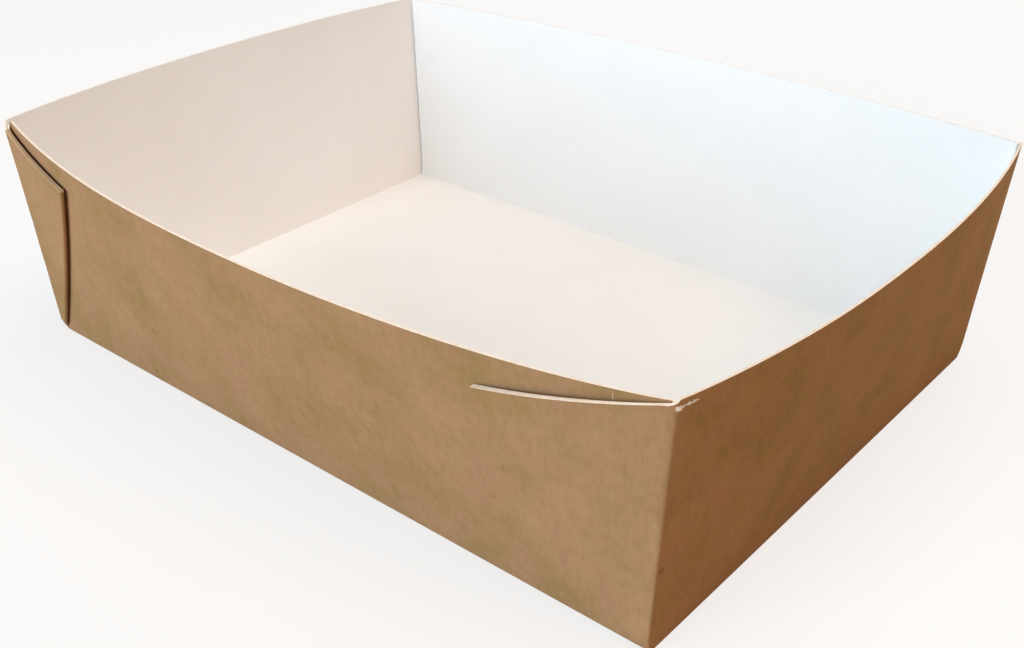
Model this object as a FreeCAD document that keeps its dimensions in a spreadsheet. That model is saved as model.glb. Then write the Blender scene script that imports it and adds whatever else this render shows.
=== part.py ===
import FreeCAD, Part
import os
import Sketcher

# Open food tray, folded from one sheet of kraft board that is white on its inside.
# The sheet has a floor, two long side walls, two short end walls and a web at each corner. Each web is
# folded in half along its diagonal and laid flat against the outside of the side wall. So every corner
# has, from the inside out, the side wall, the inner leaf and the outer leaf, and the outer leaf runs on
# round the corner into the end wall. The rims of all four walls bow outwards between the corners.
# The origin is the middle of the underside. +X runs along the tray and +Z points up.

os.makedirs("parts", exist_ok=True)

SIZES = (
    ("base_length", 160.0, "floor, outside, along the tray"),
    ("base_width", 116.0, "floor, outside, across the tray"),
    ("wall_height", 50.0, "corner of the rim above the table"),
    ("end_flare", 3.5, "lean of the end walls at the corners, over the height"),
    ("side_flare", 1.9, "lean of the side walls at the corners, over the height"),
    ("side_bow", 11.0, "how far the middle of a side rim stands out from its corners"),
    ("end_bow", 6.7, "how far the middle of an end rim stands out from its corners"),
    ("side_dip", 1.8, "how far the middle of a side rim lies below its corners"),
    ("end_dip", 0.2, "how far the middle of an end rim lies below its corners"),
    ("board", 0.45, "thickness of the sheet"),
    ("leaf_gap", 0.15, "air between two folded layers"),
    ("leaf_spring", 0.25, "extra air between side wall and inner leaf, at the rim"),
    ("seam_gap", 0.3, "open seam inside each corner"),
    ("fold_land", 0.7, "board left along the diagonal fold of a web"),
    ("foot_round", 0.5, "outside rounding of the floor folds"),
    ("corner_round_foot", 0.7, "outside rounding of the corner fold at the foot"),
    ("corner_round_rim", 1.8, "outside rounding of the corner fold at the rim"),
    ("web_start", 2.2, "height at which the two leaves of a web part"),
    ("web_foot_inset", 1.9, "foot of the diagonal fold, inwards from the foot corner"),
    ("web_reach", 31.5, "tip of the folded web, inwards from the rim corner"),
    ("web_tip_height", 42.0, "tip of the folded web above the table"),
    ("web_drop", 1.1, "top edge of the web below the rim, at the corner"),
    ("notch_run", 3.0, "length over which the end rim slopes down to the web"),
    ("overrun", 4.0, "how far every cutting solid runs past the sheet"),
)

doc = FreeCAD.newDocument("tray")
sheet = doc.addObject("Spreadsheet::Sheet", "Sizes")
for row, (alias, number, meaning) in enumerate(SIZES, start=1):
    sheet.set(f"A{row}", meaning)
    sheet.set(f"B{row}", str(number))
    sheet.setAlias(f"B{row}", alias)
doc.recompute()


class Term:
    """A length with its number and the sheet expression that gives it."""

    def __init__(self, number, text):
        self.number = number
        self.text = text

    def joined(self, other, sign, number):
        return Term(number, f"({self.text} {sign} {as_term(other).text})")

    def __add__(self, other):
        return self.joined(other, "+", self.number + as_term(other).number)

    def __sub__(self, other):
        return self.joined(other, "-", self.number - as_term(other).number)

    def __mul__(self, other):
        return self.joined(other, "*", self.number * as_term(other).number)

    def __truediv__(self, other):
        return self.joined(other, "/", self.number / as_term(other).number)


def as_term(value):
    return value if isinstance(value, Term) else Term(float(value), str(float(value)))


def size(alias):
    return Term(float(getattr(sheet, alias)), f"Sizes.{alias}")


board = size("board")
overrun = size("overrun")
wall_height = size("wall_height")
zero = as_term(0)
foot_x = size("base_length") / 2
foot_y = size("base_width") / 2
rim_x = foot_x + size("end_flare")
rim_y = foot_y + size("side_flare")
side_bow = size("side_bow")
end_bow = size("end_bow")


def arc_radius(half_chord, rise):
    return (half_chord * half_chord + rise * rise) / (rise * 2)


side_radius = arc_radius(rim_x, side_bow)
end_radius = arc_radius(rim_y, end_bow)

UPRIGHT_X = FreeCAD.Rotation(FreeCAD.Vector(1, 0, 0), 90)
UPRIGHT_Y = FreeCAD.Rotation(FreeCAD.Vector(1, 1, 1), 120)
START, END, CENTRE = 1, 2, 3
ORIGIN = (-1, 1)
X_AXIS, Y_AXIS = -1, -2


def bind(sketch, kind, first, second, term):
    # A distance from first to second, driven by the sheet.
    index = sketch.addConstraint(Sketcher.Constraint(kind, *first, *second, term.number))
    sketch.setExpression(f"Constraints[{index}]", term.text)


def place_point(sketch, point, across, up, signs):
    for kind, term, sign in (("DistanceX", across, signs[0]), ("DistanceY", up, signs[1])):
        if sign > 0:
            bind(sketch, kind, ORIGIN, point, term)
        else:
            bind(sketch, kind, point, ORIGIN, term)


def new_sketch(name, rotation=FreeCAD.Rotation(), height=None):
    sketch = doc.addObject("Sketcher::SketchObject", name)
    sketch.Placement = FreeCAD.Placement(FreeCAD.Vector(), rotation)
    if height is not None:
        sketch.setExpression("Placement.Base.z", height.text)
    return sketch


def polygon(name, rotation, corners):
    # A closed outline in an upright plane. Each corner is (across, up, sign across, sign up).
    sketch = new_sketch(name, rotation)
    spots = [FreeCAD.Vector(a.number * sa, u.number * su, 0) for a, u, sa, su in corners]
    for here, there in zip(spots, spots[1:] + spots[:1]):
        sketch.addGeometry(Part.LineSegment(here, there))
    for index, (across, up, sign_across, sign_up) in enumerate(corners):
        previous = (index - 1) % len(corners)
        sketch.addConstraint(Sketcher.Constraint("Coincident", previous, END, index, START))
        place_point(sketch, (index, START), across, up, (sign_across, sign_up))
    return sketch


def section(name, height, half_x, half_y, x_radius=None, x_apex=None, y_radius=None, y_apex=None):
    # A level outline of four sides. A side with a radius is an arc about an axis, the others are straight.
    sketch = new_sketch(name, height=height)
    x, y = half_x.number, half_y.number
    spots = [FreeCAD.Vector(*spot, 0) for spot in ((-x, -y), (x, -y), (x, y), (-x, y))]
    sides = (
        (y_radius, y_apex, FreeCAD.Vector(0, -1, 0)),
        (x_radius, x_apex, FreeCAD.Vector(1, 0, 0)),
        (y_radius, y_apex, FreeCAD.Vector(0, 1, 0)),
        (x_radius, x_apex, FreeCAD.Vector(-1, 0, 0)),
    )
    for index, (radius, apex, outwards) in enumerate(sides):
        here, there = spots[index], spots[(index + 1) % len(spots)]
        if radius is None:
            sketch.addGeometry(Part.LineSegment(here, there))
        else:
            sketch.addGeometry(Part.Arc(here, outwards * apex.number, there))
    for index, (radius, apex, outwards) in enumerate(sides):
        following = (index + 1) % len(sides)
        sketch.addConstraint(Sketcher.Constraint("Coincident", index, END, following, START))
        lengthwise = outwards.x == 0
        if radius is None:
            along = "Horizontal" if lengthwise else "Vertical"
            kind = "DistanceY" if lengthwise else "DistanceX"
            sketch.addConstraint(Sketcher.Constraint(along, index))
            ends = (ORIGIN, (index, START)) if outwards.x + outwards.y > 0 else ((index, START), ORIGIN)
            bind(sketch, kind, *ends, half_y if lengthwise else half_x)
        else:
            axis = Y_AXIS if lengthwise else X_AXIS
            kind = "DistanceY" if lengthwise else "DistanceX"
            sketch.addConstraint(Sketcher.Constraint("PointOnObject", index, CENTRE, axis))
            ends = ((index, CENTRE), ORIGIN) if outwards.x + outwards.y > 0 else (ORIGIN, (index, CENTRE))
            bind(sketch, kind, *ends, radius - apex)
            at = sketch.addConstraint(Sketcher.Constraint("Radius", index, radius.number))
            sketch.setExpression(f"Constraints[{at}]", radius.text)
    return sketch


def walled(name, foot_out, rim_out, end_out=None, foot_half=None, rim_half=None):
    # A solid with the bowed form of the side walls, moved outwards by foot_out and rim_out. Its ends
    # follow the end walls, moved outwards by end_out, or are flat at foot_half and rim_half.
    side_arc = {"y_radius": side_radius, "y_apex": rim_y + side_bow + rim_out}
    if end_out is None:
        low = section(name + "Foot", zero, foot_half, foot_y + foot_out)
        high = section(name + "Rim", wall_height, rim_half, rim_y + rim_out, **side_arc)
    else:
        end_arc = {"x_radius": end_radius, "x_apex": rim_x + end_bow + end_out}
        low = section(name + "Foot", zero, foot_x + end_out, foot_y + foot_out)
        high = section(name + "Rim", wall_height, rim_x + end_out, rim_y + rim_out, **end_arc, **side_arc)
    loft = doc.addObject("Part::Loft", name)
    loft.Sections = [low, high]
    loft.Solid = True
    loft.Ruled = True
    return loft


def through(name, sketch, direction, length):
    # The sketch drawn out to both sides of its plane.
    solid = doc.addObject("Part::Extrusion", name)
    solid.Base = sketch
    solid.DirMode = "Custom"
    solid.Dir = direction
    solid.setExpression("LengthFwd", length.text)
    solid.Symmetric = True
    solid.Solid = True
    return solid


def cut(name, base, tool):
    result = doc.addObject("Part::Cut", name)
    result.Base = base
    result.Tool = tool
    return result


def fuse(name, shapes):
    result = doc.addObject("Part::MultiFuse", name)
    result.Shapes = shapes
    return result


def rounded(name, base, foot_radius, rim_radius):
    # The solid with its four upright edges rounded, by radii that change evenly from foot to rim.
    doc.recompute()
    edges = []
    for index, edge in enumerate(base.Shape.Edges, start=1):
        start_height, end_height = [vertex.Z for vertex in edge.Vertexes]
        if start_height < end_height:
            edges.append((index, foot_radius.number, rim_radius.number))
        if start_height > end_height:
            edges.append((index, rim_radius.number, foot_radius.number))
    result = doc.addObject("Part::Fillet", name)
    result.Base = base
    result.Edges = edges
    return result


inwards = zero - board
gap_foot = size("leaf_gap")
gap_rim = gap_foot + size("leaf_spring")
leaf_foot = gap_foot + board
leaf_rim = gap_rim + board
pocket_foot = leaf_foot + size("leaf_gap")
pocket_rim = leaf_rim + size("leaf_gap")
stack_foot = pocket_foot + board
stack_rim = pocket_rim + board
seam = board + size("seam_gap")
beyond_x = rim_x + end_bow + overrun
beyond_foot = beyond_x * foot_x / rim_x
across_all = (beyond_x + side_bow) * 2

# The sheet before anything is taken away: everything inside the outermost faces of end walls and webs,
# with the four corner folds rounded, sharper at the foot than at the rim.
corner_foot = size("corner_round_foot")
corner_rim = size("corner_round_rim")
outside = rounded("Outside", walled("OutsideWhole", stack_foot, stack_rim, end_out=zero), corner_foot, corner_rim)

# Each web shows as a triangle with its foot at the floor corner. Beyond its diagonal fold and above its
# top edge there is only the side wall.
diagonal_foot = foot_x - size("web_foot_inset")
tip_x = rim_x - size("web_reach")
tip_z = size("web_tip_height")
web_top = wall_height - size("web_drop")
over = wall_height + overrun


def both_ways(half):
    # The corners of the right half, then the same ones mirrored, so that the outline closes.
    return half + [(across, up, -sign_across, sign_up) for across, up, sign_across, sign_up in reversed(half)]


web_outline = polygon("WebOutline", UPRIGHT_X, both_ways([
    (diagonal_foot, overrun, 1, -1),
    (diagonal_foot, gap_foot, 1, -1),
    (tip_x, tip_z, 1, 1),
    (rim_x, web_top, 1, 1),
    (beyond_x, web_top, 1, 1),
    (beyond_x, over, 1, 1),
]))
between_webs = cut(
    "BetweenWebs",
    through("BetweenPrism", web_outline, FreeCAD.Vector(0, 1, 0), across_all),
    walled("BetweenCore", gap_foot / 2, gap_rim / 2, foot_half=beyond_foot, rim_half=beyond_x),
)

# The slot between the side wall and the inner leaf. It ends at the upright fold that joins them.
fold_foot = foot_x - seam - board
fold_rim = rim_x - seam - board
slot = cut(
    "Slot",
    walled("SlotOuter", gap_foot, gap_rim, foot_half=fold_foot, rim_half=fold_rim),
    walled("SlotCore", zero, zero, foot_half=beyond_foot, rim_half=beyond_x),
)

# The inside of the tray, the seam at each corner and the pocket between the leaves are one hollow. It is
# all that lies within the end walls and outer leaves and above the floor, less the side wall, the inner
# leaf and the board that turns round the diagonal fold.
land = size("fold_land")
start_z = size("web_start")
start_x = diagonal_foot - (diagonal_foot - tip_x) * start_z / tip_z + land
keep_outline = polygon("KeepOutline", UPRIGHT_X, both_ways([
    (beyond_x, overrun, 1, -1),
    (beyond_x, start_z, 1, 1),
    (start_x, start_z, 1, 1),
    (tip_x + land, tip_z, 1, 1),
    (tip_x + land, over, 1, 1),
]))
leaf_whole = walled("LeafWhole", leaf_foot, leaf_rim, foot_half=foot_x - seam, rim_half=rim_x - seam)
leaf_round = board + size("leaf_gap")
kept = cut(
    "Kept",
    fuse("KeptWhole", [
        rounded("LeafRound", leaf_whole, corner_foot - leaf_round, corner_rim - leaf_round),
        through("KeptPrism", keep_outline, FreeCAD.Vector(0, 1, 0), across_all),
    ]),
    walled("KeptCore", inwards, inwards, foot_half=beyond_foot, rim_half=beyond_x),
)
floor = doc.addObject("Part::Box", "Floor")
floor.setExpression("Length", across_all.text)
floor.setExpression("Width", across_all.text)
floor.setExpression("Height", (board + overrun).text)
floor.setExpression("Placement.Base.x", (zero - across_all / 2).text)
floor.setExpression("Placement.Base.y", (zero - across_all / 2).text)
floor.setExpression("Placement.Base.z", (zero - overrun).text)
hollow_whole = walled("HollowWhole", pocket_foot, pocket_rim, end_out=inwards)
hollow_round = rounded("HollowRound", hollow_whole, corner_foot - board, corner_rim - board)
hollow = cut("Hollow", hollow_round, fuse("KeptAndFloor", [kept, floor]))


def rim_trim(name, rotation, half_chord, dip):
    # What lies above a rim that dips between its corners, because the wall leans out most there.
    sketch = new_sketch(name, rotation)
    low, high = wall_height.number, over.number
    half = half_chord.number
    spots = [FreeCAD.Vector(*spot, 0) for spot in ((half, low), (half, high), (-half, high), (-half, low))]
    for here, there in zip(spots, spots[1:]):
        sketch.addGeometry(Part.LineSegment(here, there))
    lowest = FreeCAD.Vector(0, low - dip.number, 0)
    sketch.addGeometry(Part.Arc(spots[-1], lowest, spots[0]))
    signs = (1, 1, -1, -1)
    heights = (wall_height, over, over, wall_height)
    for index in range(3):
        place_point(sketch, (index, START), half_chord, heights[index], (signs[index], 1))
    place_point(sketch, (2, END), half_chord, heights[3], (signs[3], 1))
    for index in range(4):
        sketch.addConstraint(Sketcher.Constraint("Coincident", index, END, (index + 1) % 4, START))
    radius = arc_radius(half_chord, dip)
    at = sketch.addConstraint(Sketcher.Constraint("Radius", 3, radius.number))
    sketch.setExpression(f"Constraints[{at}]", radius.text)
    return sketch


side_trim = through(
    "SideTrim",
    rim_trim("SideTrimOutline", UPRIGHT_X, rim_x, size("side_dip")),
    FreeCAD.Vector(0, 1, 0),
    across_all,
)
end_trim = through(
    "EndTrim",
    rim_trim("EndTrimOutline", UPRIGHT_Y, rim_y, size("end_dip")),
    FreeCAD.Vector(1, 0, 0),
    across_all,
)

# Next to each corner the end rim slopes down to the top edge of the web.
notch_outline = polygon("NotchOutline", UPRIGHT_Y, [
    (rim_y - size("notch_run"), wall_height, 1, 1),
    (rim_y + stack_rim, web_top, 1, 1),
    (beyond_x, web_top, 1, 1),
    (beyond_x, over, 1, 1),
    (rim_y - size("notch_run"), over, 1, 1),
])
notch_prism = through("NotchPrism", notch_outline, FreeCAD.Vector(1, 0, 0), across_all)
notch_core = doc.addObject("Part::Box", "NotchCore")
notch_core.setExpression("Length", ((rim_x - seam) * 2).text)
notch_core.setExpression("Width", across_all.text)
notch_core.setExpression("Height", across_all.text)
notch_core.setExpression("Placement.Base.x", (zero - (rim_x - seam)).text)
notch_far = cut("NotchFar", notch_prism, notch_core)
notch_near = doc.addObject("Part::Mirroring", "NotchNear")
notch_near.Source = notch_far
notch_near.Normal = FreeCAD.Vector(0, 1, 0)

# The floor folds are rounded outside. The corner folds draw in to the floor at their feet, so there the
# round is as deep as the folded web.


def rounding(name, edge, radius, half_span, turn, normal):
    # What lies outside a round of this radius along the floor's edge, on both sides of the tray.
    bar = doc.addObject("Part::Cylinder", name + "Bar")
    bar.setExpression("Radius", radius.text)
    bar.setExpression("Height", (half_span * 2).text)
    bar.setExpression("Placement.Base.x", (zero - half_span).text)
    block = doc.addObject("Part::Box", name + "Block")
    block.setExpression("Length", (half_span * 2).text)
    block.setExpression("Width", (radius + overrun).text)
    block.setExpression("Height", (radius + overrun).text)
    block.setExpression("Placement.Base.x", (zero - half_span).text)
    block.setExpression("Placement.Base.z", (zero - overrun).text)
    for item in (bar, block):
        item.setExpression("Placement.Base.y", (edge - radius).text)
    bar.setExpression("Placement.Base.z", radius.text)
    bar.Placement.Rotation = FreeCAD.Rotation(FreeCAD.Vector(0, 1, 0), 90)
    far = cut(name + "Far", block, bar)
    far.Placement.Rotation = turn
    near = doc.addObject("Part::Mirroring", name + "Near")
    near.Source = far
    near.Normal = normal
    return [far, near]


AHEAD = FreeCAD.Rotation()
ASIDE = FreeCAD.Rotation(FreeCAD.Vector(0, 0, 1), -90)
FRONT_TO_BACK = FreeCAD.Vector(0, 1, 0)
END_TO_END = FreeCAD.Vector(1, 0, 0)
foot_round = size("foot_round")
web_foot = foot_y + stack_foot
rounds = [
    *rounding("SideRound", foot_y, foot_round, diagonal_foot, AHEAD, FRONT_TO_BACK),
    *rounding("WebRound", web_foot, stack_foot + foot_round, beyond_x, AHEAD, FRONT_TO_BACK),
    *rounding("EndRound", foot_x, foot_round, beyond_x, ASIDE, END_TO_END),
]

cuts = [between_webs, slot, hollow, side_trim, end_trim, notch_far, notch_near, *rounds]
tray = cut("Tray", outside, fuse("Cuts", cuts))
tray.Refine = True
tray.Label = "tray"
doc.recompute()

for item in doc.Objects:
    if "Invalid" in item.State or "Error" in item.State:
        raise RuntimeError(f"{item.Name} did not build: {item.State}")

shape = tray.Shape
if shape.isNull() or not shape.isValid() or len(shape.Solids) != 1:
    raise RuntimeError("the tray is not one valid solid")
print("tray: volume", round(shape.Volume, 1), "mm3, area", round(shape.Area, 1), "mm2")
shape.Solids[0].exportStep(f"parts/{tray.Label}.step")
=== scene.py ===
import math

import bmesh
import bpy
from mathutils import Matrix, Vector, noise


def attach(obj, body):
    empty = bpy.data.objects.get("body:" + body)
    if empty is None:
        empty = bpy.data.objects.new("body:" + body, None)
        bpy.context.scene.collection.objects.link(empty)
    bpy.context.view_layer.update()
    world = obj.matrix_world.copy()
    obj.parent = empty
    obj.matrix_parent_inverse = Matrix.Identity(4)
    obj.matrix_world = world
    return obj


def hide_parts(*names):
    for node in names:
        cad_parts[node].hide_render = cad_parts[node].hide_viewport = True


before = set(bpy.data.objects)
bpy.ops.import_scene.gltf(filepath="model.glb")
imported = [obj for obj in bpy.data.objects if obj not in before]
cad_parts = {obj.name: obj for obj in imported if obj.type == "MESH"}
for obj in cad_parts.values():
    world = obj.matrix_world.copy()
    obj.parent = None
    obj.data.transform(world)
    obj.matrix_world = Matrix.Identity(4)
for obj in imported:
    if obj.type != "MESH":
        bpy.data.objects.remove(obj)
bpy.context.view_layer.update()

# The folded sheet. The real tray is one die-cut piece of kraft board, brown outside and coated white
# inside. Its walls are folded up from the floor, and the web left at each corner is folded in half along
# its diagonal and laid flat on the outside of the long wall, so nothing else holds the tray together.
mm = 0.001

# The board, and the fold that turns it up from the floor.
board = 0.45 * mm
skin = board / 2
floor_fold = 0.275 * mm
foot = skin + floor_fold

# Half the floor each way, how far each wall leans and bows out at its rim, and how full its curve is.
floor_x = 80 * mm
floor_y = 58 * mm
wall_height = 49.95 * mm
end_flare = 3.5 * mm
side_flare = 1.9 * mm
end_bow = 6.5 * mm
side_bow = 10.85 * mm
end_fullness = 2.3
side_fullness = 2.25

# The rim dips between the corners, and the near one also sags towards its right end.
rim_height = 49.8 * mm
end_dip = 0.25 * mm
side_dip = 1.8 * mm
near_rim_sag = 0.8 * mm
sag_start = 20 * mm
sag_length = 60 * mm

# The layers at a corner: the air between them, their width together, and the height by which they have
# fully parted.
leaf_gap = 0.15 * mm
web_gap = 0.06 * mm
seam_gap = 0.1 * mm
stack_width = 1.35 * mm
pinch_height = 2.6 * mm

# The waves in the walls: how deep they are, how long each way, the height by which they are fully grown,
# and how near the corners they fade.
wave_depth = 0.2 * mm
wave_length = 34 * mm
wave_height = 41 * mm
wave_grown = 18 * mm
side_wave_fade = 2 * mm
end_wave_fade = 0.25
side_wave_seed = 1.7
end_wave_seed = 5.3

# How finely the sheet is divided.
foot_rows = 5
wall_rows = 34
side_columns = 110
end_columns = 84
leaf_columns = 26
fold_columns = 6
corner_columns = 10


def between(low, high, share):
    return low + (high - low) * share


def smooth(share):
    share = min(max(share, 0.0), 1.0)
    return share * share * (3 - 2 * share)


def ripple(along, up, seed):
    # No wall is quite flat: a slow wave that dies out at the floor fold.
    wave = noise.noise(Vector((along / wave_length, up / wave_height, seed)))
    return wave_depth * wave * smooth(up / wave_grown)


def side_bulge(x, z):
    lean = z / wall_height
    return side_bow * lean * max(1 - abs(x / (floor_x + end_flare * lean)) ** side_fullness, 0)


def on_side(facing, x, z, out):
    # A point of the long wall that faces y = facing, so far outwards from its outer face.
    bulge = side_bulge(x, z)
    wave = ripple(x, z, facing * side_wave_seed) * smooth(bulge / side_wave_fade)
    return Vector((x, facing * (floor_y + side_flare * z / wall_height + bulge + wave + out), z))


def on_end(facing, y, z, out):
    # A point of the end wall that faces x = facing, so far outwards from its outer face.
    lean = z / wall_height
    half_width = floor_y + (side_flare + stack_width) * lean
    inside = max(1 - abs(y / half_width) ** end_fullness, 0)
    wave = ripple(y, z, facing * end_wave_seed) * smooth(inside / end_wave_fade)
    bow = end_bow * lean * inside + wave
    return Vector((facing * (floor_x + end_flare * lean + bow + out), y, z))


class Corner:
    """One web, folded in half and laid on the long wall, with the bend that joins it to the end wall.

    The web's tip is a reach away from the corner, at tip_height, and its top at the corner lies a drop
    under the wall's full height. The whole web springs open, its outer half stands off by a pocket, and
    its middle swells by a belly. Its crease bows by a curve, and spans the wall's bulge as far as its
    stiffness goes. The rounding is that of the bend at its top.
    """

    spring_growth = 1.5
    least_rounding = 0.5 * mm
    unevenness = 0.4
    uneven_length = 7 * mm
    end_share = 0.4

    def __init__(
        self, right, back, reach, tip_height, drop, spring, pocket, belly, stiffness, curve, rounding,
    ):
        self.right = right
        self.back = back
        self.tip_x = floor_x + end_flare - reach
        self.tip_z = tip_height
        self.top = wall_height - drop
        self.spring = spring
        self.pocket = pocket
        self.belly = belly
        self.stiffness = stiffness
        self.curve = curve
        self.rounding = rounding

    def opening(self, z):
        # The folds of a corner all start from one point of the floor and part as they rise.
        return smooth((z - foot) / pinch_height)

    def inner_leaf(self, z):
        # How far the middle of the web's inner half lies outwards from the long wall's outer face.
        spring = self.spring * (z / wall_height) ** self.spring_growth
        return (leaf_gap + spring + board) * self.opening(z) - skin

    def outer_leaf(self, z):
        pocket = self.pocket * z / wall_height
        return self.inner_leaf(z) + (board + web_gap + pocket) * self.opening(z)

    def bend(self, z):
        # The fold was pressed by hand, so its round swells and shrinks a little on the way up.
        worn = noise.noise(Vector((z / self.uneven_length, self.right * 0.7, self.back * 0.6)))
        uneven = 1 + self.unevenness * worn
        return between(self.least_rounding, self.rounding, z / wall_height) * self.opening(z) * uneven

    def side_stop(self, z):
        # How far along x the long wall runs before it doubles back into the web.
        fold = (self.inner_leaf(z) + skin) / 2
        inset = (board + seam_gap) * self.opening(z) + fold
        return floor_x + end_flare * z / wall_height - skin - inset

    def end_stop(self, z):
        # How far along y the end wall runs before it bends. Most of the bend lies on the web's side.
        return floor_y + side_flare * z / wall_height + self.outer_leaf(z) - self.end_share * self.bend(z)

    def row(self, share, z, side_z, end_z, shrink):
        """The points from the long wall, through both halves of the web, to the end wall.

        The row runs at height z on the web, side_z on the long wall and end_z on the end wall, and at
        the same share of the way up all three. Shrink draws it in around the fold at the floor.
        """
        root_x = self.side_stop(min(z, foot)) + shrink
        fold_x = between(root_x, self.tip_x, share) + self.curve * 4 * share * (1 - share)
        fold_z = between(min(z, foot), self.tip_z, share)
        spanned = share * side_bulge(self.tip_x, self.tip_z) - side_bulge(fold_x, fold_z)
        fold_stand = max(self.stiffness * spanned, 0)

        def point(x, height, out, part=0.0):
            # The folded web is stiff, so it spans the bulge of the wall instead of following it.
            stand = part * fold_stand + 4 * part * (1 - part) * self.belly * share ** 2
            return on_side(self.back, self.right * x, height, out + shrink + stand)

        # The tight fold where the long wall doubles back into the web.
        points = []
        start_x = self.side_stop(z) + shrink
        turn = (self.inner_leaf(z) + skin) / 2
        for step in range(1, fold_columns):
            angle = math.pi * step / fold_columns
            turned = (1 - math.cos(angle)) / 2
            x = between(self.side_stop(side_z) + shrink, start_x, turned) + turn * math.sin(angle)
            out = between(-skin, self.inner_leaf(z), turned)
            points.append(point(x, between(side_z, z, turned), out))

        # The web's inner half, and the crease along its diagonal.
        for step in range(leaf_columns + 1):
            part = step / leaf_columns
            height = between(z, fold_z, part)
            points.append(point(between(start_x, fold_x, part), height, self.inner_leaf(height), part))
        slope = Vector((floor_x - self.tip_x, self.tip_z)).normalized()
        inner, outer = self.inner_leaf(fold_z), self.outer_leaf(fold_z)
        for step in range(1, fold_columns):
            angle = math.pi * step / fold_columns
            reach = (outer - inner) / 2 * math.sin(angle)
            out = between(inner, outer, (1 - math.cos(angle)) / 2)
            points.append(point(fold_x - slope.y * reach, fold_z - slope.x * reach, out, 1.0))

        # The web's outer half, back to the corner, and the bend round it onto the end wall.
        edge_x = floor_x + end_flare * z / wall_height - skin + shrink
        edge_y = floor_y + side_flare * z / wall_height + self.outer_leaf(z) + shrink
        stop_x = edge_x - self.bend(z)
        for step in range(leaf_columns + 1):
            part = step / leaf_columns
            height = between(fold_z, z, part)
            points.append(point(between(fold_x, stop_x, part), height, self.outer_leaf(height), 1 - part))
        first = points[-1]
        peak = Vector((self.right * edge_x, self.back * edge_y, z))
        last = on_end(self.right, self.back * (self.end_stop(end_z) + shrink), end_z, shrink - skin)
        for step in range(1, corner_columns):
            part = step / corner_columns
            points.append(first.lerp(peak, part).lerp(peak.lerp(last, part), part))
        return points


near = Corner(
    right=1, back=-1, reach=32.1 * mm, tip_height=41.9 * mm, drop=1.25 * mm,
    spring=0.2 * mm, pocket=0.06 * mm, belly=0.7 * mm, stiffness=0.6, curve=0.54 * mm,
    rounding=1.4 * mm,
)
left = Corner(
    right=-1, back=-1, reach=27.1 * mm, tip_height=43.2 * mm, drop=1.9 * mm,
    spring=0.5 * mm, pocket=0.0 * mm, belly=0.1 * mm, stiffness=0.15, curve=1.1 * mm,
    rounding=1.3 * mm,
)
far = Corner(
    right=-1, back=1, reach=31.5 * mm, tip_height=42.0 * mm, drop=0.9 * mm,
    spring=0.2 * mm, pocket=0.1 * mm, belly=0.3 * mm, stiffness=0.6, curve=0.54 * mm,
    rounding=1.3 * mm,
)
right = Corner(
    right=1, back=1, reach=31.5 * mm, tip_height=42.0 * mm, drop=0.9 * mm,
    spring=0.2 * mm, pocket=0.1 * mm, belly=0.3 * mm, stiffness=0.6, curve=0.54 * mm,
    rounding=1.3 * mm,
)

crowding = 0.75


def places(low, high, count):
    # Columns from low to high, closer together towards both folds by the crowding.
    spread = []
    for step in range(count + 1):
        place = 2 * step / count - 1
        place += crowding * math.sin(math.pi * place) / math.pi
        spread.append(between(low, high, (place + 1) / 2))
    return spread


def side_rim(facing, x, stop):
    rim = rim_height - side_dip * (1 - abs(x / stop) ** side_fullness)
    if facing < 0:
        rim -= near_rim_sag * smooth((x - sag_start) / sag_length)
    return rim


def end_rim(y, stop):
    return rim_height - end_dip * (1 - abs(y / stop) ** end_fullness)


def round_row(share, lift, shrink):
    """One row of the sheet, seen from above anticlockwise from the left end of the near long wall."""
    def height(rim):
        return lift if lift < foot else between(foot, rim, share)

    def side_top(corner):
        return height(side_rim(corner.back, corner.right * floor_x, floor_x))

    ring = []
    end_top = height(rim_height)
    for facing, start, end, after in ((-1, left, near, right), (1, right, far, left)):
        low = start.right * (start.side_stop(side_top(start)) + shrink)
        high = end.right * (end.side_stop(side_top(end)) + shrink)
        for x in places(low, high, side_columns):
            stop = high if x * high > 0 else low
            ring.append(on_side(facing, x, height(side_rim(facing, x, stop)), shrink - skin))
        ring += end.row(share, height(end.top), side_top(end), end_top, shrink)
        low = end.back * (end.end_stop(end_top) + shrink)
        high = after.back * (after.end_stop(end_top) + shrink)
        for y in places(low, high, end_columns):
            stop = high if y * high > 0 else low
            ring.append(on_end(end.right, y, height(end_rim(y, stop)), shrink - skin))
        ring += reversed(after.row(share, height(after.top), side_top(after), end_top, shrink))
    return ring


# Each row has its share of the way up, its height where it is still in the floor fold, and its shrink.
rows = []
for step in range(foot_rows + 1):
    angle = math.pi / 2 * step / foot_rows
    rows.append((0.0, skin + floor_fold * (1 - math.cos(angle)), floor_fold * (math.sin(angle) - 1)))
for step in range(1, wall_rows + 1):
    rows.append((step / wall_rows, foot, 0.0))

sheet = bmesh.new()
rings = [[sheet.verts.new(point) for point in round_row(*row)] for row in rows]
ring_count = len(rings[0])
for lower, upper in zip(rings, rings[1:]):
    for step in range(ring_count):
        following = (step + 1) % ring_count
        sheet.faces.new((lower[step], lower[following], upper[following], upper[step]))

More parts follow.
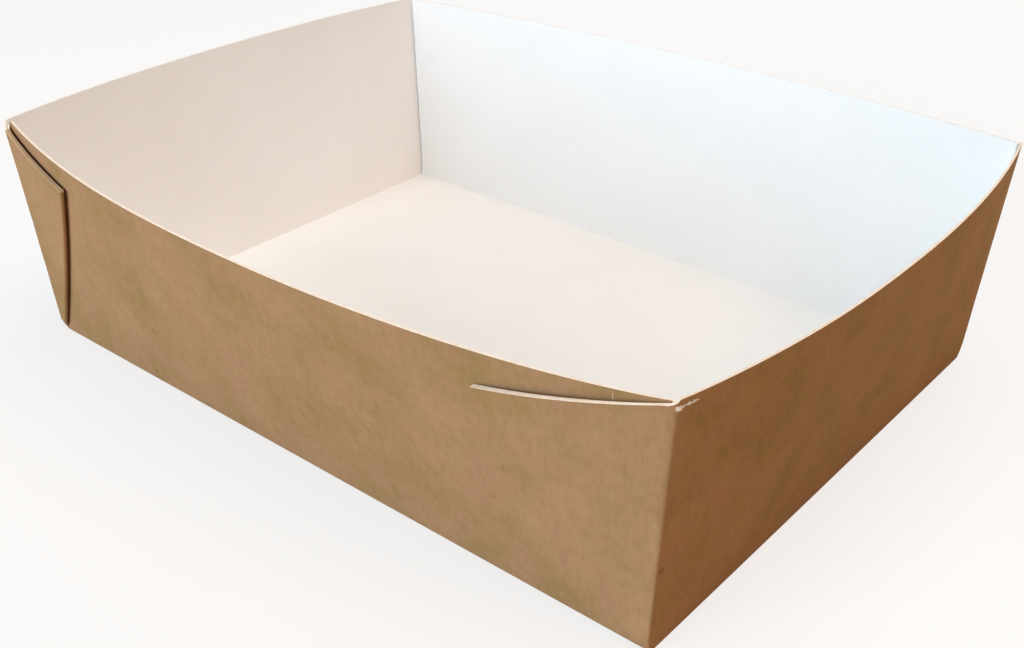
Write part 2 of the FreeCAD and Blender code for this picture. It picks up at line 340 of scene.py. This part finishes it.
# The floor is a grid between the lowest row's four straight runs, which are found by their first points.
floor_edge = rings[0]
far_first = ring_count // 2
web_points = (far_first - (side_columns + 1) - (end_columns + 1)) // 2
right_first = side_columns + 1 + web_points
left_first = far_first + right_first
near_edge = floor_edge[:side_columns + 1]
right_edge = floor_edge[right_first:right_first + end_columns + 1]
far_edge = floor_edge[far_first:far_first + side_columns + 1][::-1]
left_edge = floor_edge[left_first:left_first + end_columns + 1][::-1]
floor_lines = [near_edge]
near_y = right_edge[0].co.y
floor_width = right_edge[-1].co.y - near_y
for left_point, right_point in list(zip(left_edge, right_edge))[1:-1]:
    share = (right_point.co.y - near_y) / floor_width
    inner_points = [
        sheet.verts.new(near_point.co.lerp(far_point.co, share))
        for near_point, far_point in list(zip(near_edge, far_edge))[1:-1]
    ]
    floor_lines.append([left_point, *inner_points, right_point])
floor_lines.append(far_edge)
for lower, upper in zip(floor_lines, floor_lines[1:]):
    for step in range(side_columns):
        sheet.faces.new((lower[step], upper[step], upper[step + 1], lower[step + 1]))

# At the floor each web shrinks to one point, so its columns are merged there.
merge_distance = 0.012 * mm
sliver_length = 0.005 * mm
bmesh.ops.remove_doubles(sheet, verts=list(sheet.verts), dist=merge_distance)
bmesh.ops.dissolve_degenerate(sheet, edges=list(sheet.edges), dist=sliver_length)
for face in sheet.faces:
    face.smooth = True
sheet_mesh = bpy.data.meshes.new("tray_sheet")
sheet.to_mesh(sheet_mesh)
sheet.free()
tray = bpy.data.objects.new("tray_sheet", sheet_mesh)
bpy.context.scene.collection.objects.link(tray)


class Shade:
    """A value in a material's node tree, so that sums in this file become its Math nodes."""

    def __init__(self, tree, socket):
        self.tree = tree
        self.socket = socket

    def node(self, kind, settings=None, inputs=None, output=None):
        made = self.tree.nodes.new(kind)
        for name, value in (settings or {}).items():
            if name == "stops":
                ramp = made.color_ramp.elements
                while len(ramp) < len(value):
                    ramp.new(0.5)
                for stop, (place, shade) in zip(ramp, value):
                    stop.position = place
                    stop.color = (*shade, 1)
            else:
                setattr(made, name, value)
        for name, value in (inputs or {}).items():
            socket = next(s for s in made.inputs if s.enabled and name in (s.identifier, s.name))
            if isinstance(value, Shade):
                self.tree.links.new(value.socket, socket)
            else:
                socket.default_value = value
        found = next((s for s in made.outputs if s.enabled and output in (None, s.name)), None)
        return Shade(self.tree, found)

    def math(self, operation, first, second):
        terms = {"Value": first, "Value_001": second}
        return self.node("ShaderNodeMath", {"operation": operation}, terms)

    def __add__(self, other):
        return self.math("ADD", self, other)

    def __radd__(self, other):
        return self.math("ADD", other, self)

    def __sub__(self, other):
        return self.math("SUBTRACT", self, other)

    def __rsub__(self, other):
        return self.math("SUBTRACT", other, self)

    def __mul__(self, other):
        return self.math("MULTIPLY", self, other)

    def __rmul__(self, other):
        return self.math("MULTIPLY", other, self)


def plain(hexes):
    # A colour as it looks on screen, turned into the linear one that a shader takes.
    parts = [int(hexes[i:i + 2], 16) / 255 for i in (0, 2, 4)]
    return tuple(part / 12.92 if part <= 0.04045 else ((part + 0.055) / 1.055) ** 2.4 for part in parts)


def new_material(name):
    material = bpy.data.materials.new(name)
    material.use_nodes = True
    material.node_tree.nodes.clear()
    return material, Shade(material.node_tree, None)


def fade(shade, value, none, full, most=1.0):
    # 0 where the value is none, growing evenly to the most where it is full, which may be the lower one.
    return shade.node("ShaderNodeMapRange", {}, {
        "Value": value, "From Min": none, "From Max": full, "To Max": most,
    })


def band(shade, value, low, high, soft):
    # 1 where the value lies between low and high, and fading to 0 over the soft width on either side.
    return fade(shade, value, low - soft, low) * fade(shade, value, high + soft, high)


def clouds(shade, place, scale, detail, roughness=0.5, distortion=0.0):
    return shade.node("ShaderNodeTexNoise", {}, {
        "Vector": place, "Scale": scale, "Detail": detail, "Roughness": roughness, "Distortion": distortion,
    })


def stretched(shade, place, scales):
    return shade.node("ShaderNodeMapping", {}, {"Vector": place, "Scale": scales})


def tinted(shade, share, under, hexes):
    # The colour under it, turned towards another by the share.
    return shade.node("ShaderNodeMix", {"data_type": "RGBA"}, {
        "Factor": share, "A": under, "B": (*plain(hexes), 1),
    })


kraft, shade = new_material("kraft_outside")
position = shade.node("ShaderNodeTexCoord", output="Object")
along_x = shade.node("ShaderNodeSeparateXYZ", {}, {"Vector": position}, "X")
along_y = shade.node("ShaderNodeSeparateXYZ", {}, {"Vector": position}, "Y")
height = shade.node("ShaderNodeSeparateXYZ", {}, {"Vector": position}, "Z")

# The kraft board's tone drifts slowly from yellower to redder brown, with a blush over it here and there.
tone = shade.node("ShaderNodeValToRGB", {"stops": (
    (0.32, plain("a68659")),
    (0.50, plain("b18d65")),
    (0.68, plain("ba926c")),
)}, {"Fac": clouds(shade, position, 70, 3)})
blush = fade(shade, clouds(shade, position, 170, 2, distortion=0.4), 0.42, 0.66, most=0.6)
blushed = tinted(shade, blush, tone, "b88c6c")

# Over that lie a fine speckle with upright streaks, and the dark and pale flecks of the pulp.
speckle = clouds(shade, position, 620, 3, roughness=0.6)
streaks = clouds(shade, stretched(shade, position, (1300, 1300, 260)), 1, 3, roughness=0.6)
mottling = shade.node("ShaderNodeValToRGB", {"stops": (
    (0.30, (0.87, 0.86, 0.85)),
    (0.52, (1, 1, 1)),
    (0.72, (1.07, 1.07, 1.07)),
)}, {"Fac": speckle * 0.55 + streaks * 0.45})
mottled = shade.node("ShaderNodeMix", {"data_type": "RGBA", "blend_type": "MULTIPLY"}, {
    "Factor": 1, "A": blushed, "B": mottling,
})
flecks = clouds(shade, stretched(shade, position, (900, 900, 420)), 1, 1, distortion=0.9)
darkened = tinted(shade, fade(shade, flecks, 0.68, 0.80) * 0.2, mottled, "7a5b3a")
flecked = tinted(shade, fade(shade, flecks, 0.32, 0.20) * 0.12, darkened, "d9bf98")

# The small torn line just under the end wall's rim at the near corner, thicker at its near end.
beyond = 90 * mm
tear_near = -61.4 * mm
tear_far = -57.4 * mm
thick_tear_far = -60.0 * mm
raggedness = 0.7 * mm
torn_height = height + (clouds(shade, position, 1600, 3) - 0.5) * raggedness
thin_tear = band(shade, torn_height, 48.28 * mm, 48.55 * mm, 0.09 * mm)
thick_tear = band(shade, torn_height, 47.9 * mm, 48.6 * mm, 0.12 * mm)
tear_line = (
    thin_tear * band(shade, along_y, tear_near, tear_far, 0.3 * mm)
    + thick_tear * band(shade, along_y, tear_near, thick_tear_far, 0.5 * mm)
)
on_end_wall = band(shade, along_x, 83.3 * mm, beyond, 0.05 * mm)
torn = shade.node("ShaderNodeClamp", {}, {"Value": tear_line * on_end_wall})

# The short pale nick beside the near web's crease, and the dark speck low on the end wall.
nick = (
    band(shade, along_x, 73.89 * mm, 73.95 * mm, 0.07 * mm)
    * band(shade, along_y, -62.6 * mm, -61.5 * mm, 0.1 * mm)
    * band(shade, height, 46.3 * mm, 47.6 * mm, 0.5 * mm)
)
speck = (
    band(shade, along_x, 80.5 * mm, beyond, 0.1 * mm)
    * band(shade, along_y, -58.9 * mm, -58.1 * mm, 0.4 * mm)
    * band(shade, height, 17.3 * mm, 17.9 * mm, 0.4 * mm)
)
dirty = tinted(shade, speck * 0.4, flecked, "4b3319")
board_colour = tinted(shade, torn * 0.95 + nick * 0.35, dirty, "fdf3e6")

# The board's fine tooth, with the same streaks and speckle in it.
fuzz = clouds(shade, position, 2200, 3)
relief = shade.node("ShaderNodeBump", {}, {
    "Strength": 0.2, "Distance": 0.0001, "Height": streaks * 0.4 + fuzz * 0.3 + speckle * 0.3,
})
surface = shade.node("ShaderNodeBsdfPrincipled", {}, {
    "Base Color": board_colour,
    "Roughness": 0.82,
    "Specular IOR Level": 0.15,
    "Normal": relief,
})
shade.node("ShaderNodeOutputMaterial", {}, {"Surface": surface})

# The white inside is smoother, and nearly even.
white, shade = new_material("white_inside")
position = shade.node("ShaderNodeTexCoord", output="Object")
coating = shade.node("ShaderNodeValToRGB", {"stops": (
    (0.35, plain("f5f6f6")),
    (0.65, plain("f7f8f8")),
)}, {"Fac": clouds(shade, position, 60, 4)})
grain = clouds(shade, position, 1500, 2)
relief = shade.node("ShaderNodeBump", {}, {"Strength": 0.12, "Distance": 0.00008, "Height": grain})
surface = shade.node("ShaderNodeBsdfPrincipled", {}, {
    "Base Color": coating, "Roughness": 0.5, "Specular IOR Level": 0.2, "Normal": relief,
})
shade.node("ShaderNodeOutputMaterial", {}, {"Surface": surface})

# The cut edge shows pale pulp. Along the left web, below the rim, it is painted browner as painted shade,
# for the weaker light on that edge.
cut, shade = new_material("cut_edge")
position = shade.node("ShaderNodeTexCoord", output="Object")
pulp = shade.node("ShaderNodeValToRGB", {"stops": (
    (0.30, plain("f1e0ca")),
    (0.55, plain("f8ecdc")),
    (0.75, plain("fcf5ea")),
)}, {"Fac": clouds(shade, position, 1100, 3)})
along_x = shade.node("ShaderNodeSeparateXYZ", {}, {"Vector": position}, "X")
height = shade.node("ShaderNodeSeparateXYZ", {}, {"Vector": position}, "Z")
left_web_shade = band(shade, along_x, -beyond, -50 * mm, 1 * mm)
below_rim = band(shade, height, 0, 48.1 * mm, 0.1 * mm)
# Painted shade: the left web's cut edge is turned towards a darker brown, standing in for less light there.
edge_colour_and_shade = tinted(shade, left_web_shade * below_rim * 0.8, pulp, "c09c70")
surface = shade.node("ShaderNodeBsdfPrincipled", {}, {"Base Color": edge_colour_and_shade, "Roughness": 0.9})
shade.node("ShaderNodeOutputMaterial", {}, {"Surface": surface})

# The sheet gets the board's thickness, half to each side, white towards the inside of the tray.
for material in (kraft, white, cut):
    tray.data.materials.append(material)
thicken = tray.modifiers.new("board", "SOLIDIFY")
thicken.thickness = board
thicken.offset = 0
thicken.material_offset = 1
thicken.material_offset_rim = 2
bpy.context.view_layer.update()
solid = bpy.data.meshes.new_from_object(tray.evaluated_get(bpy.context.evaluated_depsgraph_get()))
tray.modifiers.clear()
tray.data = solid
sharp_edge = math.radians(50)
solid.set_sharp_from_angle(angle=sharp_edge)
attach(tray, "root")
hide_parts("tray")

# Torn fibres. Where the outer ply has split at the near corner, short paper fibres stand out of the board
# along the torn line just under the rim. They are the board's own pale pulp.
tear_start = -60.9 * mm
tear_stop = -57.1 * mm
tear_height = 48.5 * mm
root_depth = 0.02 * mm
tear_steps = 12
tear = bpy.data.meshes.new("torn_fibres")
tear_points = [
    on_end(1, between(tear_start, tear_stop, step / tear_steps), tear_height, -root_depth)
    for step in range(tear_steps + 1)
]
tear.from_pydata(tear_points, [(step, step + 1) for step in range(tear_steps)], [])
fibres_piece = bpy.data.objects.new("torn_fibres", tear)
bpy.context.scene.collection.objects.link(fibres_piece)

growth = bpy.data.node_groups.new("torn_fibres", "GeometryNodeTree")
growth.interface.new_socket("Geometry", in_out="INPUT", socket_type="NodeSocketGeometry")
fibre_sizes = (
    ("Fibre Count", "NodeSocketInt", 40),
    ("Fibre Length", "NodeSocketFloat", 0.55 * mm),
    ("Fibre Thickness", "NodeSocketFloat", 0.045 * mm),
    ("Seed", "NodeSocketInt", 7),
)
sockets = {}
for name, kind, value in fibre_sizes:
    sockets[name] = growth.interface.new_socket(name, in_out="INPUT", socket_type=kind)
    sockets[name].default_value = value
growth.interface.new_socket("Geometry", in_out="OUTPUT", socket_type="NodeSocketGeometry")

# One bent strand is swept along its curve, and stood along the line, each time turned and sized by chance.
plan = Shade(growth, None)
line = plan.node("NodeGroupInput", output="Geometry")
count_in = plan.node("NodeGroupInput", output="Fibre Count")
length_in = plan.node("NodeGroupInput", output="Fibre Length")
thickness_in = plan.node("NodeGroupInput", output="Fibre Thickness")
seed_in = plan.node("NodeGroupInput", output="Seed")
path = plan.node("GeometryNodeMeshToCurve", {}, {"Mesh": line})
spots = plan.node("GeometryNodeResampleCurve", {}, {"Curve": path, "Count": count_in})
far_end = plan.node("ShaderNodeCombineXYZ", {}, {"Z": length_in})
elbow = plan.node("ShaderNodeCombineXYZ", {}, {"X": length_in * 0.35, "Z": length_in * 0.6})
hair = plan.node("GeometryNodeCurveQuadraticBezier", {}, {
    "Resolution": 5, "Start": (0, 0, 0), "Middle": elbow, "End": far_end,
})
outline = plan.node("GeometryNodeCurvePrimitiveCircle", {}, {"Resolution": 5, "Radius": thickness_in})
strand = plan.node("GeometryNodeCurveToMesh", {}, {
    "Curve": hair, "Profile Curve": outline, "Fill Caps": True,
})
turned = plan.node("FunctionNodeRandomValue", {"data_type": "FLOAT_VECTOR"}, {
    "Min": (-1.1, 0.2, -0.9), "Max": (1.1, 1.5, 0.9), "Seed": seed_in,
})
sized = plan.node("FunctionNodeRandomValue", {"data_type": "FLOAT"}, {
    "Min": 0.45, "Max": 1.2, "Seed": seed_in + 3,
})
placed = plan.node("GeometryNodeInstanceOnPoints", {}, {
    "Points": spots, "Instance": strand, "Rotation": turned, "Scale": sized,
})
real = plan.node("GeometryNodeRealizeInstances", {}, {"Geometry": placed})
finished = plan.node("GeometryNodeSetMaterial", {}, {"Geometry": real, "Material": cut})
plan.node("NodeGroupOutput", {}, {"Geometry": finished})

grow = fibres_piece.modifiers.new("growth", "NODES")
grow.node_group = growth
for name, kind, value in fibre_sizes:
    grow[sockets[name].identifier] = value
bpy.context.view_layer.update()
grown = bpy.data.meshes.new_from_object(fibres_piece.evaluated_get(bpy.context.evaluated_depsgraph_get()))
fibres_piece.modifiers.clear()
fibres_piece.data = grown
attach(fibres_piece, "root")

# The table. A plain pale sweep under the tray. The lens sees it as white, with the tray's soft shadow,
# but the light that it throws back up at the tray is warmer and dimmer than white.
table_width = 3.2
table_gap = 0.02 * mm
glow = 0.75
bpy.ops.mesh.primitive_plane_add(size=table_width, location=(0, 0, -table_gap))
table = bpy.context.object
table.name = "table"


def seen_rays(shade):
    # 1 for a ray that sees a thing, straight or in a shine or through it, and 0 for one that carries light.
    camera_ray = shade.node("ShaderNodeLightPath", output="Is Camera Ray")
    glossy_ray = shade.node("ShaderNodeLightPath", output="Is Glossy Ray")
    through_ray = shade.node("ShaderNodeLightPath", output="Is Transmission Ray")
    return camera_ray + glossy_ray + through_ray


sweep, shade = new_material("sweep")
seen = seen_rays(shade)
paper = tinted(shade, seen, (*plain("beb095"), 1), "fbfbfa")
diffuse = shade.node("ShaderNodeBsdfDiffuse", {}, {"Color": paper})
lit = shade.node("ShaderNodeEmission", {}, {"Color": (1, 1, 1, 1), "Strength": 1})
surface = shade.node("ShaderNodeMixShader", {}, {"Fac": seen * glow, "Shader": diffuse, "Shader_001": lit})
shade.node("ShaderNodeOutputMaterial", {}, {"Surface": surface})
table.data.materials.append(sweep)

# The light. A large soft lamp low at the near left lights the long wall, a cool one overhead and a warm
# one high at the right light the inside, and the room itself is dim.
room = bpy.data.worlds.new("room")
room.use_nodes = True
room.node_tree.nodes.clear()
shade = Shade(room.node_tree, None)
seen = seen_rays(shade)
room_light = 0.11
room_colour = tinted(shade, seen, (1.0, 0.68, 0.34, 1), "fcfcfb")
backdrop = shade.node("ShaderNodeBackground", {}, {
    "Color": room_colour, "Strength": room_light + seen * (1 - room_light),
})
shade.node("ShaderNodeOutputWorld", {}, {"Surface": backdrop})
bpy.context.scene.world = room

lamp_size = 0.8


def soft_lamp(name, place, power, colour):
    # A square lamp that faces the middle of the tray's floor.
    lamp = bpy.data.lights.new(name, "AREA")
    lamp.shape = "SQUARE"
    lamp.size = lamp_size
    lamp.energy = power
    lamp.color = colour
    holder = bpy.data.objects.new(name, lamp)
    bpy.context.scene.collection.objects.link(holder)
    holder.location = place
    holder.rotation_euler = (-Vector(place)).to_track_quat("-Z", "Y").to_euler()


soft_lamp("front_lamp", (-0.15, -1.15, 0.35), 13.6, (0.75, 0.88, 1.0))
soft_lamp("top_lamp", (0, 0, 1.2), 5.1, (0.66, 0.84, 0.93))
soft_lamp("back_lamp", (0.1, 0.8, 1.0), 5.0, (0.78, 0.91, 1.0))
soft_lamp("warm_lamp", (0.7, 0.1, 1.1), 6.0, (1.0, 0.50, 0.19))

# The camera. It stands where the photograph was taken from, about 28 cm away beyond the near corner and
# looking down by 30 degrees, with the tray filling the frame.
side_turn = math.radians(40.333)
down_tilt = math.radians(29.523)
roll = math.radians(-0.336)
distance = 281.702 * mm
aim_across = 2.18 * mm
aim_up = 4.226 * mm
focal_length = 44.677
backward = Vector((
    math.sin(side_turn) * math.cos(down_tilt),
    -math.cos(side_turn) * math.cos(down_tilt),
    math.sin(down_tilt),
))
level = Vector((math.cos(side_turn), math.sin(side_turn), 0))
upward = backward.cross(level)
across = level * math.cos(roll) + upward * math.sin(roll)
over = upward * math.cos(roll) - level * math.sin(roll)
lens = bpy.data.cameras.new("camera")
lens.lens = focal_length
lens.sensor_width = 36
lens.clip_start = 0.01
camera = bpy.data.objects.new("camera", lens)
bpy.context.scene.collection.objects.link(camera)
eye = backward * distance + level * aim_across + upward * aim_up
facing = Matrix((across, over, backward)).transposed().to_4x4()
camera.matrix_world = Matrix.Translation(eye) @ facing
bpy.context.scene.camera = camera
bpy.context.scene.view_settings.view_transform = "Standard"
